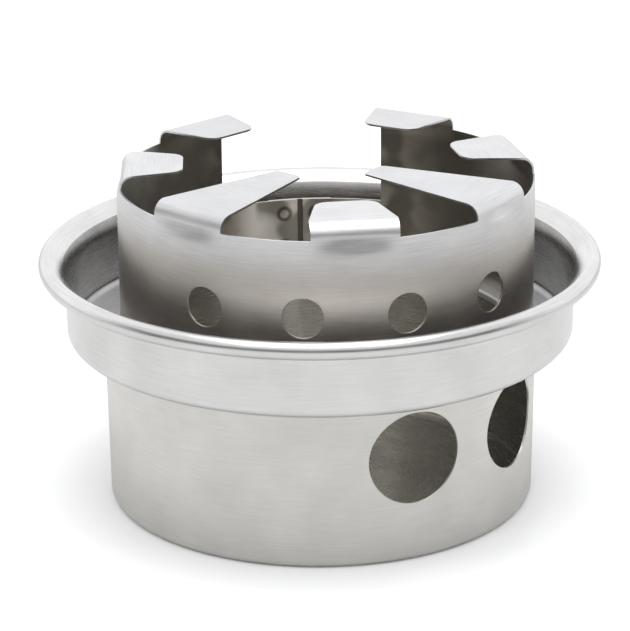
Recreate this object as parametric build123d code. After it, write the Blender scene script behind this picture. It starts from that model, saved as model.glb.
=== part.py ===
# Hobo stove: a fire cup with a rim tray on top, and a lift-off pot ring that stands in the tray.
# Millimetres, +Z up. The origin is the centre of the cup's rest plane and the front is -Y.
# An azimuth is measured from the front, positive towards +X.

from math import atan, cos, degrees, radians, sin, tan
import os

from build123d import *

# Sheet stock, the same for every piece
SHEET = 0.7

# Rim bead of the tray: a hollow curl of sheet
RIM_RADIUS = 92.5
BEAD_TUBE_RADIUS = 2.82
RIM_TOP = 83.55
BEAD_TURN = 270

# Tray
TRAY_WALL_RADIUS = 83.7
TRAY_CORNER_RADIUS = 3.2
LEDGE_TOP = 56.3
FLARE_ANGLE = 60
LIP_DEPTH = 2.4
LIP_BEND_RADIUS = 1.2

# Fire cup
CUP_TOP_RADIUS = 71.5
CUP_FOOT_RADIUS = 70.75
CUP_CORNER_RADIUS = 2.3
FLANGE_RADIUS = 77.0
FLANGE_BEND_RADIUS = 1.5
FLOOR_PANEL_RADIUS = 63.5
FLOOR_PANEL_RISE = 0.8
FLOOR_STEP_ANGLE = 30

# Air holes in the cup wall
AIR_HOLE_RADIUS = 15.4
AIR_HOLE_HEIGHT = 35.35
AIR_HOLE_AZIMUTHS = (24.7, 60.9)

# Pot ring: a rolled strip that stands on the tray ledge, a little off centre and turned
RING_RADIUS = 68.33
RING_SHIFT = 2.2
RING_TURN = 7.5
RING_SEAT_MARGIN = 0.93
SLOT_FLOOR = 108.3
PORT_FLOOR = 78.9
SEAM_GAP = 1.8

# Tabs folded from the top of the ring
TAB_TOP = 113.5
TAB_PITCH = 48.0
TAB_WIDTH_ANGLE = 23.5
TAB_BEND_RADIUS = 4.5
FLATTEN_START = 103.5
FLATTEN_LEVELS = 5
TAB_STEPS = (-3, -2, -1, 0, 1, 2, 3)
LONG_TABS = (-1, 1)
LEFT_TAB = -2

# Distance of a tab's tip from the ring's axis, half its width there, and its corner radius
SHORT_TIP = (44.0, 9.3, 5.0)
LEFT_TIP = (46.5, 9.3, 5.0)
LONG_TIP = (18.0, 5.2, 2.3)

# Vent holes in the front of the ring
VENT_RADIUS = 6.57
VENT_HEIGHT = 83.3
VENT_PITCH = 27.9
VENT_STEPS = (-1.5, -0.5, 0.5, 1.5)

# Strap spot-welded over the butt seam
STRAP_WIDTH = 22.0
STRAP_FOOT_CLEARANCE = 0.5
WELD_RADIUS = 2.0
WELD_DEPTH = 0.15
WELD_OFFSET = 5.6
WELD_HEIGHTS = (61.8, 73.8)

# Values that follow from the ones above
HALF_SHEET = SHEET / 2
LEDGE_UNDERSIDE = LEDGE_TOP - SHEET
OPENING_RADIUS = RING_RADIUS - SHEET - RING_SHIFT - RING_SEAT_MARGIN
BEAD_RADIUS = BEAD_TUBE_RADIUS - HALF_SHEET
BEAD_CENTRE = (RIM_RADIUS - BEAD_TUBE_RADIUS, RIM_TOP - BEAD_TUBE_RADIUS)
TAB_HALF_ANGLE = TAB_WIDTH_ANGLE / 2
TAB_HALF_WIDTH = RING_RADIUS * sin(radians(TAB_HALF_ANGLE))
TAB_CHORD_DISTANCE = RING_RADIUS * cos(radians(TAB_HALF_ANGLE))
BEND_START = TAB_TOP - TAB_BEND_RADIUS
PORT_HALF_ANGLE = 180 - TAB_STEPS[-1] * TAB_PITCH - TAB_HALF_ANGLE


def turned(vector, angle):
    """Vector turned in the drawing plane."""
    return vector.rotate(Axis.Z, angle)


def sheet_section(start, heading, moves):
    """Face one sheet thick around a smooth centreline.

    A move is a straight length, or a pair of centreline radius and turn in degrees.
    """
    position = Vector(*start)
    direction = turned(Vector(1, 0), heading)
    normal = turned(direction, 90)
    edges = [Edge.make_line(position - normal * HALF_SHEET, position + normal * HALF_SHEET)]
    for move in moves:
        normal = turned(direction, 90)
        sides = [position + normal * HALF_SHEET, position - normal * HALF_SHEET]
        if isinstance(move, tuple):
            radius, turn = move
            centre = position + normal * (radius if turn > 0 else -radius)
            for side in sides:
                middle = centre + turned(side - centre, turn / 2)
                end = centre + turned(side - centre, turn)
                edges.append(Edge.make_three_point_arc(side, middle, end))
            position = centre + turned(position - centre, turn)
            direction = turned(direction, turn)
        else:
            for side in sides:
                edges.append(Edge.make_line(side, side + direction * move))
            position = position + direction * move
    normal = turned(direction, 90)
    edges.append(Edge.make_line(position - normal * HALF_SHEET, position + normal * HALF_SHEET))
    return make_face(edges)


def spun(section):
    """Solid of revolution from a section drawn as radius and height."""
    return revolve(Plane.XZ * section, Axis.Z)


def radial_drill(radius, azimuth, height, reach):
    """Round cutter that points outwards from the axis at an azimuth."""
    cutter = Cylinder(radius, reach, align=(Align.CENTER, Align.CENTER, Align.MIN))
    return Rot(0, 0, azimuth) * Pos(0, 0, height) * Rot(90, 0, 0) * cutter


def drip_tray():
    """Ledge with a round opening, upright wall, flared top and hollow curled rim."""
    wall_radius = TRAY_WALL_RADIUS - HALF_SHEET
    corner_radius = TRAY_CORNER_RADIUS - HALF_SHEET
    lip_bend = LIP_BEND_RADIUS - HALF_SHEET
    ledge_height = LEDGE_TOP - HALF_SHEET
    lip_radius = OPENING_RADIUS + HALF_SHEET
    # The flare leaves the wall upright and runs smoothly into the bead at this point
    bead_start = 180 - FLARE_ANGLE
    meet_radius = BEAD_CENTRE[0] + BEAD_RADIUS * cos(radians(bead_start))
    meet_height = BEAD_CENTRE[1] + BEAD_RADIUS * sin(radians(bead_start))
    flare_radius = (meet_radius - wall_radius) / (1 - cos(radians(FLARE_ANGLE)))
    wall_top = meet_height - flare_radius * sin(radians(FLARE_ANGLE))
    return spun(
        sheet_section(
            (lip_radius, LEDGE_TOP - LIP_DEPTH),
            90,
            [
                LIP_DEPTH - LIP_BEND_RADIUS,
                (lip_bend, -90),
                wall_radius - corner_radius - lip_radius - lip_bend,
                (corner_radius, 90),
                wall_top - ledge_height - corner_radius,
                (flare_radius, -FLARE_ANGLE),
                (BEAD_RADIUS, -BEAD_TURN),
            ],
        )
    )


def fire_cup():
    """Cup with a raised floor panel, a slight draft, a turned-out flange and two air holes."""
    corner_radius = CUP_CORNER_RADIUS - HALF_SHEET
    flange_bend = FLANGE_BEND_RADIUS - HALF_SHEET
    step_sin = sin(radians(FLOOR_STEP_ANGLE))
    step_cos = cos(radians(FLOOR_STEP_ANGLE))
    step_bend = FLOOR_PANEL_RISE / (2 - 2 * step_cos)
    foot_radius = CUP_FOOT_RADIUS - HALF_SHEET
    top_radius = CUP_TOP_RADIUS - HALF_SHEET
    foot_height = CUP_CORNER_RADIUS
    top_height = LEDGE_UNDERSIDE - FLANGE_BEND_RADIUS
    rise = top_height - foot_height
    lean = degrees(atan((top_radius - foot_radius) / rise))
    # A leaning wall meets each bend a little short of a quarter turn
    bend_drop = corner_radius * sin(radians(lean))
    bend_lift = flange_bend * sin(radians(lean))
    wall_length = (rise + bend_drop + bend_lift) / cos(radians(lean))
    wall_gain = wall_length * sin(radians(lean))
    corner_gain = corner_radius * cos(radians(lean))
    flange_gain = flange_bend * cos(radians(lean))
    floor_run = foot_radius - corner_gain - FLOOR_PANEL_RADIUS - 2 * step_bend * step_sin
    flange_run = FLANGE_RADIUS - foot_radius - wall_gain - flange_gain
    cup = spun(
        sheet_section(
            (0, HALF_SHEET + FLOOR_PANEL_RISE),
            0,
            [
                FLOOR_PANEL_RADIUS,
                (step_bend, -FLOOR_STEP_ANGLE),
                (step_bend, FLOOR_STEP_ANGLE),
                floor_run,
                (corner_radius, 90 - lean),
                wall_length,
                (flange_bend, lean - 90),
                flange_run,
            ],
        )
    )
    for azimuth in AIR_HOLE_AZIMUTHS:
        cup -= radial_drill(AIR_HOLE_RADIUS, azimuth, AIR_HOLE_HEIGHT, FLANGE_RADIUS)
    return cup


def curved_strip(inner_radius, low, high, first_azimuth, last_azimuth):
    """Upright curved strip one sheet thick between two azimuths."""
    section = Pos(inner_radius + HALF_SHEET, (low + high) / 2) * Rectangle(SHEET, high - low)
    strip = revolve(Plane.XZ * section, Axis.Z, last_azimuth - first_azimuth)
    return Rot(0, 0, first_azimuth - 90) * strip


def flattening_section(height, share):
    """Plan section under a tab: a ring arc at share 0 and a straight chord at share 1."""
    spread = tan(radians(TAB_HALF_ANGLE))
    arc_distance = (RING_RADIUS - SHEET) * cos(radians(TAB_HALF_ANGLE))
    inner_distance = arc_distance + (TAB_CHORD_DISTANCE - SHEET - arc_distance) * share
    right_outer = Vector(TAB_HALF_WIDTH, -TAB_CHORD_DISTANCE)
    right_inner = Vector(inner_distance * spread, -inner_distance)
    left_outer = Vector(-right_outer.X, right_outer.Y)
    left_inner = Vector(-right_inner.X, right_inner.Y)
    bulge = (RING_RADIUS - TAB_CHORD_DISTANCE) * (1 - share)
    ends = [Edge.make_line(left_inner, left_outer), Edge.make_line(right_outer, right_inner)]
    if share < 1:
        mid_outer = Vector(0, -TAB_CHORD_DISTANCE - bulge)
        mid_inner = mid_outer + Vector(0, SHEET)
        faces = [
            Edge.make_three_point_arc(left_outer, mid_outer, right_outer),
            Edge.make_three_point_arc(right_inner, mid_inner, left_inner),
        ]
    else:
        faces = [Edge.make_line(left_outer, right_outer), Edge.make_line(right_inner, left_inner)]
    return Pos(0, 0, height) * make_face(ends + faces)


def tab(tip, tip_half_width, tip_corner):
    """Front tab: the wall flattens to a chord, folds inwards and ends in a tapered plate."""
    sections = []
    for level in range(FLATTEN_LEVELS):
        travel = level / (FLATTEN_LEVELS - 1)
        share = travel * travel * (3 - 2 * travel)
        sections.append(flattening_section(FLATTEN_START + travel * (BEND_START - FLATTEN_START), share))
    flattening = loft(sections)
    bend_distance = TAB_CHORD_DISTANCE - TAB_BEND_RADIUS
    bend = revolve(sections[-1], Axis((0, -bend_distance, BEND_START), (-1, 0, 0)), 90)
    outline = make_face(
        Polyline(
            (-TAB_HALF_WIDTH, -bend_distance),
            (TAB_HALF_WIDTH, -bend_distance),
            (tip_half_width, -tip),
            (-tip_half_width, -tip),
            close=True,
        )
    )
    outline = fillet(outline.vertices().group_by(Axis.Y)[-1], tip_corner)
    plate = Pos(0, 0, TAB_TOP - SHEET) * extrude(outline, SHEET)
    return flattening + bend + plate


def in_place(shape):
    """Shape of the ring moved from the ring's own axis to where it stands in the tray."""
    return Pos(RING_SHIFT, 0, 0) * Rot(0, 0, RING_TURN) * shape


def weld_marks(face_radius, side):
    """Shallow round cutters at the spot welds; side is 1 for an outer face and -1 for an inner."""
    dish = (WELD_RADIUS**2 + WELD_DEPTH**2) / (2 * WELD_DEPTH)
    swing = degrees(WELD_OFFSET / face_radius)
    distance = face_radius + side * (dish - WELD_DEPTH)
    marks = []
    for height in WELD_HEIGHTS:
        for azimuth in (180 - swing, 180 + swing):
            marks.append(Rot(0, 0, azimuth) * Pos(0, -distance, height) * Sphere(dish))
    return marks


def pot_ring():
    """Rolled strip with a butt seam, a fuel port, vent holes and seven folded tabs."""
    inner = RING_RADIUS - SHEET
    port_edge = 180 - PORT_HALF_ANGLE
    ring = curved_strip(inner, LEDGE_TOP, PORT_FLOOR, -180, 180)
    ring += curved_strip(inner, PORT_FLOOR, FLATTEN_START, -port_edge, port_edge)
    for step in TAB_STEPS[:-1]:
        slot_start = step * TAB_PITCH + TAB_HALF_ANGLE
        slot_end = slot_start + TAB_PITCH - TAB_WIDTH_ANGLE
        ring += curved_strip(inner, FLATTEN_START, SLOT_FLOOR, slot_start, slot_end)
    for step in TAB_STEPS:
        shape = LONG_TIP if step in LONG_TABS else LEFT_TIP if step == LEFT_TAB else SHORT_TIP
        ring += Rot(0, 0, step * TAB_PITCH) * tab(*shape)
    for step in VENT_STEPS:
        ring -= radial_drill(VENT_RADIUS, step * VENT_PITCH, VENT_HEIGHT, RIM_RADIUS)
    seam_height = PORT_FLOOR - LEDGE_TOP
    seam = Box(SEAM_GAP, RIM_RADIUS, seam_height, align=(Align.CENTER, Align.MIN, Align.MIN))
    ring -= Pos(0, 0, LEDGE_TOP) * seam
    for mark in weld_marks(inner, -1):
        ring -= mark
    return in_place(ring)


def seam_strap():
    """Curved strap that lies on the outside of the ring and bridges its butt seam."""
    half_angle = degrees(STRAP_WIDTH / 2 / RING_RADIUS)
    foot = LEDGE_TOP + STRAP_FOOT_CLEARANCE
    strap = curved_strip(RING_RADIUS, foot, PORT_FLOOR, 180 - half_angle, 180 + half_angle)
    for mark in weld_marks(RING_RADIUS + SHEET, 1):
        strap -= mark
    return in_place(strap)


os.makedirs("parts", exist_ok=True)
export_step(fire_cup(), "parts/fire_cup.step")
export_step(drip_tray(), "parts/drip_tray.step")
export_step(pot_ring(), "parts/pot_ring.step")
export_step(seam_strap(), "parts/seam_strap.step")
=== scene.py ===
from math import asin, atan, cos, degrees, hypot, pi, radians, sin, sqrt

import bpy
from mathutils import Matrix, Vector

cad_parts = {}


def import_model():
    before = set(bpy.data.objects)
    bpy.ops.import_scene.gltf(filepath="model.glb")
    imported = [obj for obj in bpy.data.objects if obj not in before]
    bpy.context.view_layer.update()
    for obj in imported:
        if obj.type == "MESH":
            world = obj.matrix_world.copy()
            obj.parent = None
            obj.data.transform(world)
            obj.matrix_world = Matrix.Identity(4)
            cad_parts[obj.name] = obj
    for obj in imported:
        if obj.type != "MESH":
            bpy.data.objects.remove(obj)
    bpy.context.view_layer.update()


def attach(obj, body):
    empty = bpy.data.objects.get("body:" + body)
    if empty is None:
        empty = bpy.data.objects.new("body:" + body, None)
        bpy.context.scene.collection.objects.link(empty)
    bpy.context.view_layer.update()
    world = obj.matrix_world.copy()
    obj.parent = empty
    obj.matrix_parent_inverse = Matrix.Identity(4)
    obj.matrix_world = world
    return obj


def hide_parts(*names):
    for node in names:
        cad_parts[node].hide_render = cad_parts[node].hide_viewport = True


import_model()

# Lengths are millimetres, apart from those of the room, which are metres.
# Azimuths are degrees from the front, + towards +X.
MM = 0.001
SHEET = 0.7

# Fire cup
CUP_TOP_RADIUS = 71.5
CUP_FOOT_RADIUS = 70.75
CUP_CORNER_RADIUS = 2.3
FLANGE_RADIUS = 77.0
FLANGE_BEND_RADIUS = 1.5
FLOOR_PANEL_RADIUS = 63.5
FLOOR_START_RADIUS = 1.0
FLOOR_PANEL_RISE = 0.8
FLOOR_STEP_ANGLE = 30
AIR_HOLE_RADIUS = 15.4
AIR_HOLE_HEIGHT = 35.35
AIR_HOLE_AZIMUTHS = (24.7, 60.9)
AIR_PATCH_HALF = 17.4

# Tray
LEDGE_TOP = 56.3
TRAY_WALL_RADIUS = 83.7
TRAY_CORNER_RADIUS = 3.2
RIM_RADIUS = 92.5
RIM_TOP = 83.55
BEAD_TUBE_RADIUS = 2.82
BEAD_TURN = 270
FLARE_ANGLE = 60
OPENING_RADIUS = 64.5
LIP_DEPTH = 2.4
LIP_BEND_RADIUS = 1.2

# Tray faces above the first height have the rim's look and those below the second the ledge's; between
# them the wall's inner side has a darker look, which is painted shade.
# The looks are numbered as in tray_looks.
TRAY_RIM_FROM = 79.0
TRAY_LEDGE_TO = 57.2
TRAY_RIM_LOOK = 2
TRAY_LEDGE_LOOK = 4

# Pot ring
RING_RADIUS = 68.33
RING_SHIFT = 2.2
RING_TURN = 7.5
SLOT_FLOOR = 108.3
PORT_FLOOR = 78.9
SEAM_GAP = 1.8
TAB_TOP = 113.5
TAB_PITCH = 48.0
TAB_HALF_ANGLE = 11.75
TAB_BEND_RADIUS = 4.5
FLATTEN_START = 103.5
TAB_STEPS = (-3, -2, -1, 0, 1, 2, 3)
LONG_TABS = (-1, 1)
LEFT_TAB = -2
SHORT_TIP = (44.0, 9.3, 5.0)
LEFT_TIP = (46.5, 9.3, 5.0)
LONG_TIP = (18.0, 5.2, 2.3)
VENT_RADIUS = 6.57
VENT_HEIGHT = 83.3
VENT_PITCH = 27.9
VENT_STEPS = (-1.5, -0.5, 0.5, 1.5)
VENT_PATCH_HALF = 8.8
STRAP_WIDTH = 22.0
STRAP_FOOT_CLEARANCE = 0.5
WELD_RADIUS = 2.0
WELD_DEPTH = 0.15
WELD_OFFSET = 5.6
WELD_HEIGHTS = (61.8, 73.8)

# Mesh spacing, edges and names
TRAY_AZIMUTH_STEP = 1.5
TRAY_LENGTH_STEP = 2.5
CUP_AZIMUTH_STEP = 1.2
CUP_LENGTH_STEP = 2.0
RING_AZIMUTH_STEP = 1.3
RING_HEIGHT_STEP = 1.6
WELD_AZIMUTH_STEP = 0.35
WELD_HEIGHT_STEP = 0.45
TAB_BEND_STOPS = 10
TIP_STOP_ANGLES = range(0, 91, 10)
BEND_STEP_ANGLE = 7
LEAST_BEND_STEPS = 3
HOLE_LOOPS = 6
HOLE_LOOP_GROWTH = 1.4
EDGE_WIDTH = 0.09
EDGE_ANGLE = 50
EDGE_SEGMENTS = 2
FACE_NORMAL_WEIGHT = 80
WALL_END_SLACK = 0.2
ALMOST_HALF = 0.49
TINY = 1e-6
UV_LAYER = "sheet"

HALF_SHEET = SHEET / 2
TAB_HALF_WIDTH = RING_RADIUS * sin(radians(TAB_HALF_ANGLE))
TAB_CHORD_DISTANCE = RING_RADIUS * cos(radians(TAB_HALF_ANGLE))
BEND_START = TAB_TOP - TAB_BEND_RADIUS
BEND_LENGTH = TAB_BEND_RADIUS * pi / 2
BEND_DISTANCE = TAB_CHORD_DISTANCE - TAB_BEND_RADIUS
PORT_EDGE = TAB_STEPS[-1] * TAB_PITCH + TAB_HALF_ANGLE


# Meshes

def steps(low, high, size):
    """Even stops from low to high, about size apart or closer."""
    count = max(1, round((high - low) / size + ALMOST_HALF))
    return [low + (high - low) * i / count for i in range(count + 1)]


def stops(breaks, size):
    """Breaks in order, with even stops between them."""
    breaks = sorted(set(round(b, 6) for b in breaks))
    found = [breaks[0]]
    for low, high in zip(breaks, breaks[1:]):
        found += steps(low, high, size)[1:]
    return found


def hole_loops(hole, square, columns, rows):
    """Loops of (azimuth, row) points from a round hole's edge out to its square patch."""
    azimuth, row, radius, half, surface = hole
    left, right, low, high = square
    across = [s for s in columns if left - TINY <= s <= right + TINY]
    up = [v for v in rows if low - TINY <= v <= high + TINY]
    rim = [(s, up[0]) for s in across] + [(across[-1], v) for v in up[1:]]
    rim += [(s, up[-1]) for s in across[-2::-1]] + [(across[0], v) for v in up[-2:0:-1]]
    loops = []
    for k in range(HOLE_LOOPS):
        share = (k / HOLE_LOOPS) ** HOLE_LOOP_GROWTH
        loop = []
        for s, v in rim:
            x, y = surface * sin(radians(s - azimuth)), v - row
            reach = hypot(x, y)
            scale = (radius + (reach - radius) * share) / reach
            loop.append((azimuth + degrees(asin(x * scale / surface)), row + y * scale))
        loops.append(loop)
    return loops + [rim]


def mesh_piece(name, points, faces, uvs):
    """Smooth object from points in millimetres, with the faces' corners on the UV layer."""
    mesh = bpy.data.meshes.new(name)
    mesh.from_pydata([[c * MM for c in p] for p in points], [], faces)
    layer = mesh.uv_layers.new(name=UV_LAYER)
    for polygon, corners in zip(mesh.polygons, uvs):
        polygon.use_smooth = True
        for loop, uv in zip(polygon.loop_indices, corners):
            layer.data[loop].uv = uv
    mesh.update()
    piece = bpy.data.objects.new(name, mesh)
    bpy.context.scene.collection.objects.link(piece)
    return piece


def sheet_mesh(name, columns, rows, keep, place, holes=(), closed=False):
    """Quads over columns (azimuth) and rows (length along the section), with round drilled holes.

    keep tells which cells are metal and place gives a point for a column and a row. A hole is
    (azimuth, row, radius, patch half-size, surface radius), and its square patch ends on stops.
    The UVs are lengths in metres, round the ring's radius on every piece and along the section.
    """
    points, faces, uvs, index = [], [], [], {}

    def vertex(s, v):
        turn = 360 if closed and s >= columns[-1] - TINY else 0
        key = (round(s - turn, 4), round(v, 4))
        if key not in index:
            index[key] = len(points)
            points.append(place(s, v))
        return index[key]

    def quad(corners):
        faces.append([vertex(s, v) for s, v in corners])
        uvs.append([(radians(s) * RING_RADIUS * MM, v * MM) for s, v in corners])

    squares = []
    for azimuth, row, radius, half, surface in holes:
        reach = degrees(asin(half / surface))
        squares.append((azimuth - reach, azimuth + reach, row - half, row + half))
    for s0, s1 in zip(columns, columns[1:]):
        for v0, v1 in zip(rows, rows[1:]):
            s, v = (s0 + s1) / 2, (v0 + v1) / 2
            drilled = any(left < s < right and low < v < high for left, right, low, high in squares)
            if keep(s, v) and not drilled:
                quad([(s0, v0), (s1, v0), (s1, v1), (s0, v1)])
    for hole, square in zip(holes, squares):
        loops = hole_loops(hole, square, columns, rows)
        for inner, outer in zip(loops, loops[1:]):
            for i in range(len(inner)):
                j = (i + 1) % len(inner)
                quad([inner[i], outer[i], outer[j], inner[j]])
    return mesh_piece(name, points, faces, uvs)


def thicken(piece):
    """Give a surface the sheet's thickness inwards, with slightly broken edges.

    The inner side takes the look after the outer side's own.
    """
    solid = piece.modifiers.new("sheet", "SOLIDIFY")
    solid.thickness = SHEET * MM
    solid.offset = -1
    solid.material_offset = 1
    solid.material_offset_rim = 0
    solid.use_even_offset = True
    bevel = piece.modifiers.new("edges", "BEVEL")
    bevel.width = EDGE_WIDTH * MM
    bevel.segments = EDGE_SEGMENTS
    bevel.limit_method = "ANGLE"
    bevel.angle_limit = radians(EDGE_ANGLE)
    normals = piece.modifiers.new("normals", "WEIGHTED_NORMAL")
    normals.weight = FACE_NORMAL_WEIGHT
    return piece


def section_path(start, heading, moves, side):
    """Points along one side of a sheet, from straight lengths and (centreline radius, turn) bends.

    Gives (radius, height) points; side is 1 for the left side and -1 for the right.
    """
    x, y = start
    a = radians(heading)
    offset = side * HALF_SHEET
    path = [(x - offset * sin(a), y + offset * cos(a))]
    for move in moves:
        if isinstance(move, tuple):
            radius, turn = move
            bend = 1 if turn > 0 else -1
            cx, cy = x - bend * radius * sin(a), y + bend * radius * cos(a)
            reach = radius - bend * offset
            count = max(LEAST_BEND_STEPS, round(abs(turn) / BEND_STEP_ANGLE))
            for i in range(1, count + 1):
                b = a + radians(turn) * i / count
                path.append((cx + bend * reach * sin(b), cy - bend * reach * cos(b)))
            a += radians(turn)
            x, y = cx + bend * radius * sin(a), cy - bend * radius * cos(a)
        else:
            x, y = x + move * cos(a), y + move * sin(a)
            path.append((x - offset * sin(a), y + offset * cos(a)))
    return path


def lengths(path):
    """Length along a path at each of its points."""
    found = [0]
    for (x0, y0), (x1, y1) in zip(path, path[1:]):
        found.append(found[-1] + hypot(x1 - x0, y1 - y0))
    return found


def along(path, marks, v):
    """Point of a path at a length."""
    for i in range(1, len(path)):
        if v <= marks[i] + TINY:
            break
    share = (v - marks[i - 1]) / (marks[i] - marks[i - 1])
    (x0, y0), (x1, y1) = path[i - 1], path[i]
    return x0 + (x1 - x0) * share, y0 + (y1 - y0) * share


def spun_point(radius, azimuth, height):
    """Point at a radius, azimuth and height round the axis."""
    return radius * sin(radians(azimuth)), -radius * cos(radians(azimuth)), height


# Pieces

def tray():
    """Lip, ledge, corner, wall, flare and curled rim, seen from the underside of the sheet."""
    wall_radius = TRAY_WALL_RADIUS - HALF_SHEET
    corner = TRAY_CORNER_RADIUS - HALF_SHEET
    lip_bend = LIP_BEND_RADIUS - HALF_SHEET
    lip_radius = OPENING_RADIUS + HALF_SHEET
    bead = BEAD_TUBE_RADIUS - HALF_SHEET
    meet = radians(180 - FLARE_ANGLE)
    meet_radius = RIM_RADIUS - BEAD_TUBE_RADIUS + bead * cos(meet)
    meet_height = RIM_TOP - BEAD_TUBE_RADIUS + bead * sin(meet)
    flare = (meet_radius - wall_radius) / (1 - cos(radians(FLARE_ANGLE)))
    wall_top = meet_height - flare * sin(radians(FLARE_ANGLE))
    path = section_path(
        (lip_radius, LEDGE_TOP - LIP_DEPTH),
        90,
        [
            LIP_DEPTH - LIP_BEND_RADIUS,
            (lip_bend, -90),
            wall_radius - corner - lip_radius - lip_bend,
            (corner, 90),
            wall_top - LEDGE_TOP + HALF_SHEET - corner,
            (flare, -FLARE_ANGLE),
            (bead, -BEAD_TURN),
        ],
        -1,
    )
    marks = lengths(path)
    rows = stops(marks, TRAY_LENGTH_STEP)
    piece = sheet_mesh(
        "tray_skin",
        steps(-180, 180, TRAY_AZIMUTH_STEP),
        rows,
        lambda s, v: True,
        lambda s, v: spun_point(along(path, marks, v)[0], s, along(path, marks, v)[1]),
        closed=True,
    )
    for polygon in piece.data.polygons:
        if polygon.center.z > TRAY_RIM_FROM * MM:
            polygon.material_index = TRAY_RIM_LOOK
        elif polygon.center.z < TRAY_LEDGE_TO * MM:
            polygon.material_index = TRAY_LEDGE_LOOK
    return piece


def cup():
    """Cup from its floor to the edge of its hidden flange, seen from outside.

    The skin starts a little off the axis, which leaves a pinhole in the middle of the floor.
    """
    corner = CUP_CORNER_RADIUS - HALF_SHEET
    flange_bend = FLANGE_BEND_RADIUS - HALF_SHEET
    step_bend = FLOOR_PANEL_RISE / (2 - 2 * cos(radians(FLOOR_STEP_ANGLE)))
    foot = CUP_FOOT_RADIUS - HALF_SHEET
    top = CUP_TOP_RADIUS - HALF_SHEET
    rise = LEDGE_TOP - SHEET - FLANGE_BEND_RADIUS - CUP_CORNER_RADIUS
    lean = degrees(atan((top - foot) / rise))
    wall = (rise + (corner + flange_bend) * sin(radians(lean))) / cos(radians(lean))
    step_reach = 2 * step_bend * sin(radians(FLOOR_STEP_ANGLE))
    flat = foot - corner * cos(radians(lean)) - FLOOR_PANEL_RADIUS - step_reach
    flange = FLANGE_RADIUS - foot - wall * sin(radians(lean)) - flange_bend * cos(radians(lean))
    path = section_path(
        (0, HALF_SHEET + FLOOR_PANEL_RISE),
        0,
        [
            FLOOR_PANEL_RADIUS,
            (step_bend, -FLOOR_STEP_ANGLE),
            (step_bend, FLOOR_STEP_ANGLE),
            flat,
            (corner, 90 - lean),
            wall,
            (flange_bend, lean - 90),
            flange,
        ],
        -1,
    )
    path[0] = (FLOOR_START_RADIUS, path[0][1])
    marks = lengths(path)
    wall_top = LEDGE_TOP - SHEET - FLANGE_BEND_RADIUS + WALL_END_SLACK
    wall_end = max(i for i, (radius, height) in enumerate(path) if height < wall_top)
    wall_low, wall_high = path[wall_end - 1], path[wall_end]
    share = (AIR_HOLE_HEIGHT - wall_low[1]) / (wall_high[1] - wall_low[1])
    centre_row = marks[wall_end - 1] + share * (marks[wall_end] - marks[wall_end - 1])
    surface = wall_low[0] + share * (wall_high[0] - wall_low[0])
    reach = degrees(asin(AIR_PATCH_HALF / surface))
    breaks = [-180, 180]
    for azimuth in AIR_HOLE_AZIMUTHS:
        breaks += [azimuth - reach, azimuth + reach]
    rows = stops(marks + [centre_row - AIR_PATCH_HALF, centre_row + AIR_PATCH_HALF], CUP_LENGTH_STEP)
    return sheet_mesh(
        "cup_skin",
        stops(breaks, CUP_AZIMUTH_STEP),
        rows,
        lambda s, v: True,
        lambda s, v: spun_point(along(path, marks, v)[0], s, along(path, marks, v)[1]),
        [(azimuth, centre_row, AIR_HOLE_RADIUS, AIR_PATCH_HALF, surface) for azimuth in AIR_HOLE_AZIMUTHS],
        closed=True,
    )


def tab_of(s):
    """Nearest tab's step and the azimuth measured from its middle."""
    step = min(TAB_STEPS, key=lambda k: abs(s - k * TAB_PITCH))
    return step, s - step * TAB_PITCH


def tip_of(step):
    """Tip distance from the ring's axis, half width there and corner radius of a tab."""
    return LONG_TIP if step in LONG_TABS else LEFT_TIP if step == LEFT_TAB else SHORT_TIP


def tab_half_width(tip, tip_half_width, corner, distance):
    """Half the width of a tab's plate at a distance from the ring's axis."""
    slope = (TAB_HALF_WIDTH - tip_half_width) / (BEND_DISTANCE - tip)
    straight = TAB_HALF_WIDTH - slope * (BEND_DISTANCE - distance)
    centre = tip + corner
    side = TAB_HALF_WIDTH - slope * (BEND_DISTANCE - centre) - corner * sqrt(1 + slope * slope)
    if distance < centre - corner * sin(atan(slope)):
        return side + sqrt(max(0, corner**2 - (distance - centre) ** 2))
    return straight


def weld_dip(s, v):
    """Depth of the spot-weld marks at a place on the ring or strap."""
    for height in WELD_HEIGHTS:
        for side in (-1, 1):
            across = radians(abs(s) - 180) * RING_RADIUS * (1 if s > 0 else -1) - side * WELD_OFFSET
            reach = hypot(across, v - height) / WELD_RADIUS
            if reach < 1:
                return WELD_DEPTH * (1 - reach * reach)
    return 0


def ring_place(s, v):
    """Point of the ring's outer face, in the ring's own frame, before it is turned and shifted."""
    if v <= FLATTEN_START:
        return spun_point(RING_RADIUS + weld_dip(s, v), s, v)
    step, off = tab_of(s)
    if abs(off) > TAB_HALF_ANGLE + TINY:
        return spun_point(RING_RADIUS, s, v)
    x, distance = RING_RADIUS * sin(radians(off)), RING_RADIUS * cos(radians(off))
    travel = min(1, (v - FLATTEN_START) / (BEND_START - FLATTEN_START))
    share = travel * travel * (3 - 2 * travel)
    distance += (TAB_CHORD_DISTANCE - distance) * share
    z = min(v, BEND_START)
    if v > BEND_START:
        angle = min(pi / 2, (v - BEND_START) / TAB_BEND_RADIUS)
        distance = BEND_DISTANCE + TAB_BEND_RADIUS * cos(angle)
        z = BEND_START + TAB_BEND_RADIUS * sin(angle)
    if v > BEND_START + BEND_LENGTH:
        distance = BEND_DISTANCE - (v - BEND_START - BEND_LENGTH)
        plate = tip_of(step)
        x *= tab_half_width(*plate, max(distance, plate[0])) / TAB_HALF_WIDTH
    turn = radians(step * TAB_PITCH)
    return x * cos(turn) + distance * sin(turn), x * sin(turn) - distance * cos(turn), z


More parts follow.
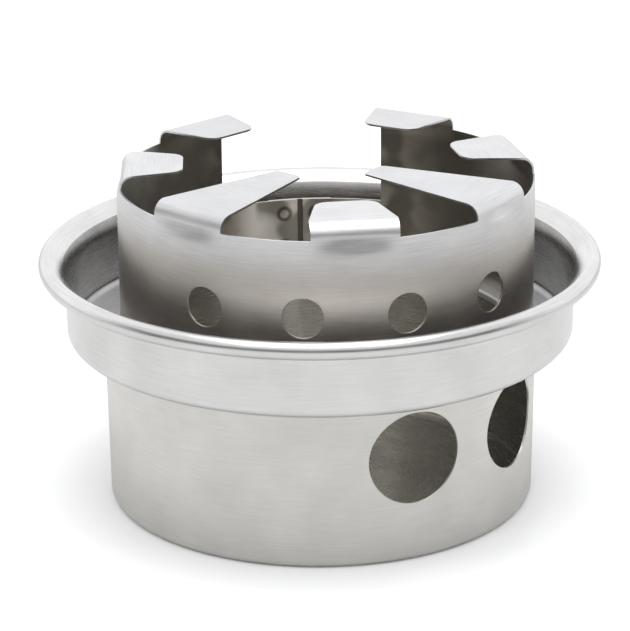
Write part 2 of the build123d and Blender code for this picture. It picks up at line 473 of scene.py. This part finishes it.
def ring_keep(s, v):
    """Whether the ring's strip has metal at a place."""
    seam = degrees(SEAM_GAP / 2 / RING_RADIUS)
    if v < PORT_FLOOR:
        return abs(s) < 180 - seam
    if abs(s) > PORT_EDGE:
        return False
    step, off = tab_of(s)
    if v < SLOT_FLOOR:
        return True
    tip = tip_of(step)[0]
    return abs(off) < TAB_HALF_ANGLE and v < BEND_START + BEND_LENGTH + BEND_DISTANCE - tip


def seat(piece):
    """Turn and shift a piece from the ring's own axis to where the ring stands."""
    turned = Matrix.Rotation(radians(RING_TURN), 4, "Z")
    piece.data.transform(Matrix.Translation((RING_SHIFT * MM, 0, 0)) @ turned)
    return piece


def ring():
    """The ring's outer face with its tabs' top faces."""
    seam = degrees(SEAM_GAP / 2 / RING_RADIUS)
    reach = degrees(asin(VENT_PATCH_HALF / RING_RADIUS))
    weld = degrees((WELD_OFFSET + WELD_RADIUS) / RING_RADIUS)
    breaks = [-180 + seam, 180 - seam]
    for step in TAB_STEPS:
        breaks += [step * TAB_PITCH - TAB_HALF_ANGLE, step * TAB_PITCH + TAB_HALF_ANGLE]
    for step in VENT_STEPS:
        breaks += [step * VENT_PITCH - reach, step * VENT_PITCH + reach]
    near_seam = steps(seam, weld, WELD_AZIMUTH_STEP)
    breaks += [180 - a for a in near_seam] + [a - 180 for a in near_seam]
    axis_row = BEND_START + BEND_LENGTH + BEND_DISTANCE
    rows = [LEDGE_TOP, VENT_HEIGHT - VENT_PATCH_HALF, VENT_HEIGHT + VENT_PATCH_HALF, PORT_FLOOR]
    rows += [FLATTEN_START, SLOT_FLOOR]
    rows += [BEND_START + BEND_LENGTH * i / TAB_BEND_STOPS for i in range(TAB_BEND_STOPS + 1)]
    for height in WELD_HEIGHTS:
        rows += steps(height - WELD_RADIUS, height + WELD_RADIUS, WELD_HEIGHT_STEP)
    for tip, half_width, corner in (SHORT_TIP, LEFT_TIP, LONG_TIP):
        rows += [axis_row - tip - corner * (1 - cos(radians(a))) for a in TIP_STOP_ANGLES]
    vents = [
        (step * VENT_PITCH, VENT_HEIGHT, VENT_RADIUS, VENT_PATCH_HALF, RING_RADIUS)
        for step in VENT_STEPS
    ]
    return seat(
        sheet_mesh(
            "ring_skin",
            stops(breaks, RING_AZIMUTH_STEP),
            stops(rows, RING_HEIGHT_STEP),
            ring_keep,
            ring_place,
            vents,
        )
    )


def strap():
    """The outer face of the strap over the seam."""
    half = degrees(STRAP_WIDTH / 2 / RING_RADIUS)
    outer = RING_RADIUS + SHEET
    return seat(
        sheet_mesh(
            "strap_skin",
            steps(180 - half, 180 + half, WELD_AZIMUTH_STEP),
            steps(LEDGE_TOP + STRAP_FOOT_CLEARANCE, PORT_FLOOR, WELD_HEIGHT_STEP),
            lambda s, v: True,
            lambda s, v: spun_point(outer - weld_dip(s if s <= 180 else s - 360, v), s, v),
        )
    )


# Nodes

MIX_SOCKETS = {"FLOAT": (2, 3, 0), "RGBA": (6, 7, 2)}


def nodes_of(owner):
    """Emptied node tree of a material or world."""
    owner.use_nodes = True
    owner.node_tree.nodes.clear()
    return owner.node_tree


def feed(tree, socket, source):
    """Link a socket to another node's output, or set it to a plain value."""
    if isinstance(source, bpy.types.NodeSocket):
        tree.links.new(source, socket)
    else:
        socket.default_value = source


def noise(tree, vector, scale, detail):
    """Noise value at a vector."""
    node = tree.nodes.new("ShaderNodeTexNoise")
    node.inputs["Scale"].default_value = scale
    node.inputs["Detail"].default_value = detail
    tree.links.new(vector, node.inputs["Vector"])
    return node.outputs["Fac"]


def axes(tree, vector):
    """X, Y and Z outputs of a vector."""
    split = tree.nodes.new("ShaderNodeSeparateXYZ")
    tree.links.new(vector, split.inputs["Vector"])
    return split.outputs


def mapped(tree, source, span, ends, curve="LINEAR"):
    """A value led from one end to the other, as it goes over its span."""
    node = tree.nodes.new("ShaderNodeMapRange")
    node.interpolation_type = curve
    node.inputs["From Min"].default_value, node.inputs["From Max"].default_value = span
    node.inputs["To Min"].default_value, node.inputs["To Max"].default_value = ends
    tree.links.new(source, node.inputs["Value"])
    return node.outputs["Result"]


def eased(tree, source, span, ends):
    """A value led from one end to the other as in mapped, but with soft ends."""
    return mapped(tree, source, span, ends, "SMOOTHSTEP")


def spread_about(tree, source, middle, spread):
    """A noise value as a middle value, give or take the spread."""
    return mapped(tree, source, (0, 1), (middle - spread, middle + spread))


def combine(tree, kind, first, second):
    """Result of a Math node on two values."""
    node = tree.nodes.new("ShaderNodeMath")
    node.operation = kind
    feed(tree, node.inputs[0], first)
    feed(tree, node.inputs[1], second)
    return node.outputs["Value"]


def mixed(tree, kind, share, first, second, blend="MIX"):
    """Mix of two numbers (FLOAT) or colours (RGBA): the first at a share of 0, the second at 1."""
    node = tree.nodes.new("ShaderNodeMix")
    node.data_type = kind
    node.blend_type = blend
    first_input, second_input, result = MIX_SOCKETS[kind]
    feed(tree, node.inputs[0], share)
    feed(tree, node.inputs[first_input], first)
    feed(tree, node.inputs[second_input], second)
    return node.outputs[result]


# Materials

STREAK_STRETCH = (80, 1700, 1)
STREAK_DETAIL = 4
STREAK_TURN = 0.25
CLOUD_SCALE = 60
CLOUD_DETAIL = 3
TONE_RAMP = (0.3, 0.7)
ROUGHNESS_SPREAD = 0.06
SCRATCH_STRENGTH = 0.06
SCRATCH_DEPTH = 0.2
# Paler patches painted on the insides of the cup and ring: painted light and reflection, fullest to the
# left and at the back.
PAINTED_LIGHT_SCALE = 75
PAINTED_LIGHT_DETAIL = 1
PAINTED_LIGHT_EDGE = (0.45, 0.6)
PAINTED_LIGHT_LEAST = 0.12
PAINTED_LIGHT_SIDE_FADE = (10, 50)
RING_PAINTED_LIGHT_FADE = (50, 64)
CUP_PAINTED_LIGHT_FADE = (-50, -36)
# Painted shade on the ring's lower part, full below the first height and gone above the second.
RING_LOW_PAINTED_SHADE = (0.64, 0.605, 0.56, 1)
RING_LOW_SHADE_FADE = (91, 109)
WELD_TINT = (0.35, 0.29, 0.23, 1)
WELD_HALO_RISE = (1.2, 1.9)
WELD_HALO_FALL = (2.2, 3.4)


def in_metres(values):
    """Millimetres as metres."""
    return [value * MM for value in values]


def weld_halo(tree, coords):
    """1 on a narrow ring round each spot weld and 0 elsewhere."""
    found = 0
    for height in WELD_HEIGHTS:
        for side in (-1, 1):
            azimuth = 180 + RING_TURN + side * degrees(WELD_OFFSET / RING_RADIUS)
            x, y, z = spun_point(RING_RADIUS - HALF_SHEET, azimuth, height)
            reach = tree.nodes.new("ShaderNodeVectorMath")
            reach.operation = "DISTANCE"
            reach.inputs[1].default_value = in_metres((x + RING_SHIFT, y, z))
            tree.links.new(coords["Object"], reach.inputs[0])
            rise = eased(tree, reach.outputs["Value"], in_metres(WELD_HALO_RISE), (0, 1))
            fall = eased(tree, reach.outputs["Value"], in_metres(WELD_HALO_FALL), (1, 0))
            found = combine(tree, "MAXIMUM", found, combine(tree, "MULTIPLY", rise, fall))
    return found


def toned(tree, coords, lines, tone, streak, mottle):
    """The steel's tone, varied by the streaks and by a larger cloud."""
    cloud = noise(tree, coords["Object"], CLOUD_SCALE, CLOUD_DETAIL)
    ramp = tree.nodes.new("ShaderNodeValToRGB")
    for stop, place, side in zip(ramp.color_ramp.elements, TONE_RAMP, (-1, 1)):
        stop.position = place
        stop.color = [min(1, c * (1 + side * (streak + mottle))) for c in tone] + [1]
    tree.links.new(mixed(tree, "FLOAT", mottle / (streak + mottle), lines, cloud), ramp.inputs["Fac"])
    return ramp.outputs["Color"]


def with_painted_light_patches(tree, coords, colour, painted_light_tone, fade):
    """A colour with paler patches of painted light and reflection, which are fullest to the left and at
    the back.
    """
    patches = eased(tree, noise(tree, coords["Object"], PAINTED_LIGHT_SCALE, PAINTED_LIGHT_DETAIL), PAINTED_LIGHT_EDGE, (0, 1))
    place = axes(tree, coords["Object"])
    behind = eased(tree, place["Y"], in_metres(fade), (PAINTED_LIGHT_LEAST, 1))
    beside = eased(tree, place["X"], in_metres(PAINTED_LIGHT_SIDE_FADE), (1, PAINTED_LIGHT_LEAST))
    near = combine(tree, "MULTIPLY", behind, beside)
    return mixed(tree, "RGBA", combine(tree, "MULTIPLY", patches, near), colour, (*painted_light_tone, 1))


def with_low_painted_shade(tree, coords, colour):
    """A colour with painted shade on the ring's lower part."""
    low_part = eased(tree, axes(tree, coords["Object"])["Z"], in_metres(RING_LOW_SHADE_FADE), (1, 0))
    return mixed(tree, "RGBA", low_part, colour, RING_LOW_PAINTED_SHADE, "MULTIPLY")


def weld_tinted(tree, coords, colour):
    """A colour with the heat rings of the spot welds."""
    return mixed(tree, "RGBA", weld_halo(tree, coords), colour, WELD_TINT, "MULTIPLY")


def steel(
    name, tone, rough, blur=0.6, streak=0.06, mottle=0.05,
    painted_light_tone=None, painted_light_fade=None, low_shaded=False, welded=False,
):
    """Brushed sheet steel: fine streaks along the sheet, a faint larger mottle and heat marks.

    painted_light_tone is the tone of paler patches of painted light and reflection, which come in over
    the depths of painted_light_fade. low_shaded adds painted shade on the ring's lower part, and welded
    the dark rings round its spot welds.
    """
    material = bpy.data.materials.new(name)
    tree = nodes_of(material)
    new, link = tree.nodes.new, tree.links.new
    coords = new("ShaderNodeTexCoord").outputs
    stretch = new("ShaderNodeMapping")
    stretch.inputs["Scale"].default_value = STREAK_STRETCH
    link(coords["UV"], stretch.inputs["Vector"])
    lines = noise(tree, stretch.outputs["Vector"], 1, STREAK_DETAIL)
    colour = toned(tree, coords, lines, tone, streak, mottle)
    if painted_light_tone:
        colour = with_painted_light_patches(tree, coords, colour, painted_light_tone, painted_light_fade)
    if low_shaded:
        colour = with_low_painted_shade(tree, coords, colour)
    if welded:
        colour = weld_tinted(tree, coords, colour)
    bump = new("ShaderNodeBump")
    bump.inputs["Strength"].default_value = SCRATCH_STRENGTH
    bump.inputs["Distance"].default_value = SCRATCH_DEPTH * MM
    link(lines, bump.inputs["Height"])
    tangent = new("ShaderNodeTangent")
    tangent.direction_type = "UV_MAP"
    tangent.uv_map = UV_LAYER
    shader = new("ShaderNodeBsdfPrincipled")
    shader.inputs["Metallic"].default_value = 1
    shader.inputs["Anisotropic"].default_value = blur
    shader.inputs["Anisotropic Rotation"].default_value = STREAK_TURN
    link(tangent.outputs["Tangent"], shader.inputs["Tangent"])
    link(colour, shader.inputs["Base Color"])
    link(spread_about(tree, lines, rough, ROUGHNESS_SPREAD), shader.inputs["Roughness"])
    link(bump.outputs["Normal"], shader.inputs["Normal"])
    output = new("ShaderNodeOutputMaterial")
    link(shader.outputs["BSDF"], output.inputs["Surface"])
    return material


cup_steel = steel("cup_steel_look", (0.78, 0.765, 0.725), 0.34, streak=0.04)
# The cup's inside is a darker copy of its steel, which is painted shade, with paler patches of painted
# light to the left and at the back.
cup_inner_shaded = steel(
    "cup_inner_painted_shade_look",
    (0.66, 0.64, 0.60),
    0.26,
    streak=0.14,
    painted_light_tone=(0.82, 0.80, 0.75),
    painted_light_fade=CUP_PAINTED_LIGHT_FADE,
)
tray_steel = steel("tray_steel_look", (0.77, 0.765, 0.75), 0.22)
# The tray wall's inside is its steel at half the tone, which is painted shade.
tray_inner_shaded = steel("tray_inner_painted_shade_look", (0.38, 0.37, 0.36), 0.27, mottle=0.2)
tray_ledge = steel("tray_ledge_look", (0.72, 0.72, 0.725), 0.45, blur=0.3)
# The ring's outer look has painted shade that darkens its lower part.
ring_steel = steel(
    "ring_steel_look", (0.755, 0.75, 0.75), 0.3, blur=0.68, streak=0.08, low_shaded=True, welded=True
)
# The ring's inside is its steel at about half the tone, which is painted shade, with paler patches of
# painted light and reflection near the seam.
ring_inner_shaded = steel(
    "ring_inner_painted_shade_look",
    (0.38, 0.355, 0.32),
    0.3,
    painted_light_tone=(1.0, 0.95, 0.86),
    painted_light_fade=RING_PAINTED_LIGHT_FADE,
    welded=True,
)
# The strap's inner face, seen through the seam's gap, is near-black, which is painted shade of the recess.
seam_painted_shade = steel("seam_painted_shade_look", (0.16, 0.13, 0.11), 0.4)

# Looks come in pairs of an outer and an inner side. The tray has a pair each for its wall, rim and ledge.
# The darker inner looks of the cup, tray wall, ring and strap are painted shade.
tray_looks = (tray_steel, tray_inner_shaded, tray_steel, tray_steel, tray_steel, tray_ledge)

for piece, node, body, slot, looks in (
    (thicken(cup()), "fire_cup", "base", "cup_steel", (cup_steel, cup_inner_shaded)),
    (thicken(tray()), "drip_tray", "base", "tray_steel", tray_looks),
    (thicken(ring()), "pot_ring", "ring", "ring_steel", (ring_steel, ring_inner_shaded)),
    (thicken(strap()), "seam_strap", "ring", "ring_steel", (ring_steel, seam_painted_shade)),
):
    for look in looks:
        piece.data.materials.append(look)
    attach(piece, body)
    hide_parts(node)


# Room, in metres

ROOM_COLOUR = (0.985, 0.995, 1.01, 1)
ROOM_FRONT = 0.2
ROOM_BACK = 1.05
ROOM_DEPTH_FADE = (-0.4, 0.4)
ROOM_CEILING = 0.85
ROOM_CEILING_FADE = (0.3, 0.6)
ROOM_FILL = 0.8
FLOOR_SIZE = 12
FLOOR_SEEN = 0.98
# Camera-only glow of the floor, which ambient occlusion dims near the stove into a painted contact shadow.
FLOOR_CAMERA_GLOW = 0.2
FLOOR_TONE = 0.72
FLOOR_GRAIN = 0.01
FLOOR_GRAIN_SCALE = 30
FLOOR_GRAIN_DETAIL = 2
PAINTED_CONTACT_SHADOW_REACH = 0.03
LAMP_PLACE = (0, -0.1, 1.05)
LAMP_TARGET = (0, 0, 0.06)
LAMP_SIZE = (0.8, 0.8)
LAMP_WATTS = 6


def floor():
    """Wide pale floor that looks white to the camera and keeps the stove's shadow, with a camera-only glow
    that ambient occlusion dims near the stove into a painted contact shadow.
    """
    bpy.ops.mesh.primitive_plane_add(size=FLOOR_SIZE, location=(0, 0, 0))
    plane = bpy.context.object
    plane.name = "floor"
    material = bpy.data.materials.new("floor_paper")
    tree = nodes_of(material)
    new, link = tree.nodes.new, tree.links.new
    coords = new("ShaderNodeTexCoord").outputs
    seen = new("ShaderNodeLightPath").outputs["Is Camera Ray"]
    grain = noise(tree, coords["Object"], FLOOR_GRAIN_SCALE, FLOOR_GRAIN_DETAIL)
    tone = spread_about(tree, grain, FLOOR_TONE, FLOOR_GRAIN)
    paper = new("ShaderNodeBsdfDiffuse")
    link(mixed(tree, "FLOAT", seen, tone, FLOOR_SEEN), paper.inputs["Color"])
    # Painted contact shadow: the camera-only glow fades out near the stove.
    painted_contact_shadow = new("ShaderNodeAmbientOcclusion")
    painted_contact_shadow.inputs["Distance"].default_value = PAINTED_CONTACT_SHADOW_REACH
    lift = combine(tree, "MULTIPLY", seen, FLOOR_CAMERA_GLOW)
    glow = new("ShaderNodeEmission")
    link(combine(tree, "MULTIPLY", lift, painted_contact_shadow.outputs["AO"]), glow.inputs["Strength"])
    both = new("ShaderNodeAddShader")
    link(paper.outputs["BSDF"], both.inputs[0])
    link(glow.outputs["Emission"], both.inputs[1])
    output = new("ShaderNodeOutputMaterial")
    link(both.outputs["Shader"], output.inputs["Surface"])
    plane.data.materials.append(material)


def world():
    """Room light, bright behind and above the stove and duller in front, and white to the camera."""
    room = bpy.data.worlds.new("studio")
    tree = nodes_of(room)
    new, link = tree.nodes.new, tree.links.new
    heading = axes(tree, new("ShaderNodeTexCoord").outputs["Generated"])
    path = new("ShaderNodeLightPath").outputs
    depth = eased(tree, heading["Y"], ROOM_DEPTH_FADE, (ROOM_FRONT, ROOM_BACK))
    ceiling = eased(tree, heading["Z"], ROOM_CEILING_FADE, (0, ROOM_CEILING))
    glow = combine(tree, "MAXIMUM", depth, ceiling)
    lit = mixed(tree, "FLOAT", path["Is Diffuse Ray"], glow, ROOM_FILL)
    seen = combine(tree, "MAXIMUM", path["Is Camera Ray"], path["Is Transmission Ray"])
    background = new("ShaderNodeBackground")
    background.inputs["Color"].default_value = ROOM_COLOUR
    link(mixed(tree, "FLOAT", seen, lit, 1), background.inputs["Strength"])
    output = new("ShaderNodeOutputWorld")
    link(background.outputs["Background"], output.inputs["Surface"])
    bpy.context.scene.world = room


def softbox():
    """Square lamp over the stove."""
    light = bpy.data.lights.new("top", "AREA")
    light.shape = "RECTANGLE"
    light.size, light.size_y = LAMP_SIZE
    light.energy = LAMP_WATTS
    lamp = bpy.data.objects.new("top", light)
    lamp.location = LAMP_PLACE
    lamp.visible_camera = False
    lamp.rotation_euler = (Vector(LAMP_TARGET) - Vector(LAMP_PLACE)).to_track_quat("-Z", "Y").to_euler()
    bpy.context.scene.collection.objects.link(lamp)


def camera():
    """Camera fitted to the photo: long lens, about 20 degrees above the horizon.

    The distance, the aim and the sensor are millimetres.
    """
    focal_px, distance, tilt, roll = 3030.3, 1005.9, radians(19.90), radians(-0.469)
    photo_px, sensor = 631, 36
    aim = Vector((-1.672, 0, 59.77))
    ahead = Vector((0, cos(tilt), -sin(tilt)))
    side = Vector((1, 0, 0))
    up = side.cross(ahead)
    across = cos(roll) * side + sin(roll) * up
    lift = cos(roll) * up - sin(roll) * side
    lens = bpy.data.cameras.new("camera")
    lens.sensor_width = sensor
    lens.lens = focal_px / photo_px * sensor
    lens.clip_start, lens.clip_end = 0.01, 30
    eye = bpy.data.objects.new("camera", lens)
    place = (aim - distance * ahead) * MM
    eye.matrix_world = Matrix.Translation(place) @ Matrix((across, lift, -ahead)).transposed().to_4x4()
    bpy.context.scene.collection.objects.link(eye)
    bpy.context.scene.camera = eye


floor()
world()
softbox()
camera()

bpy.context.scene.view_settings.view_transform = "Standard"
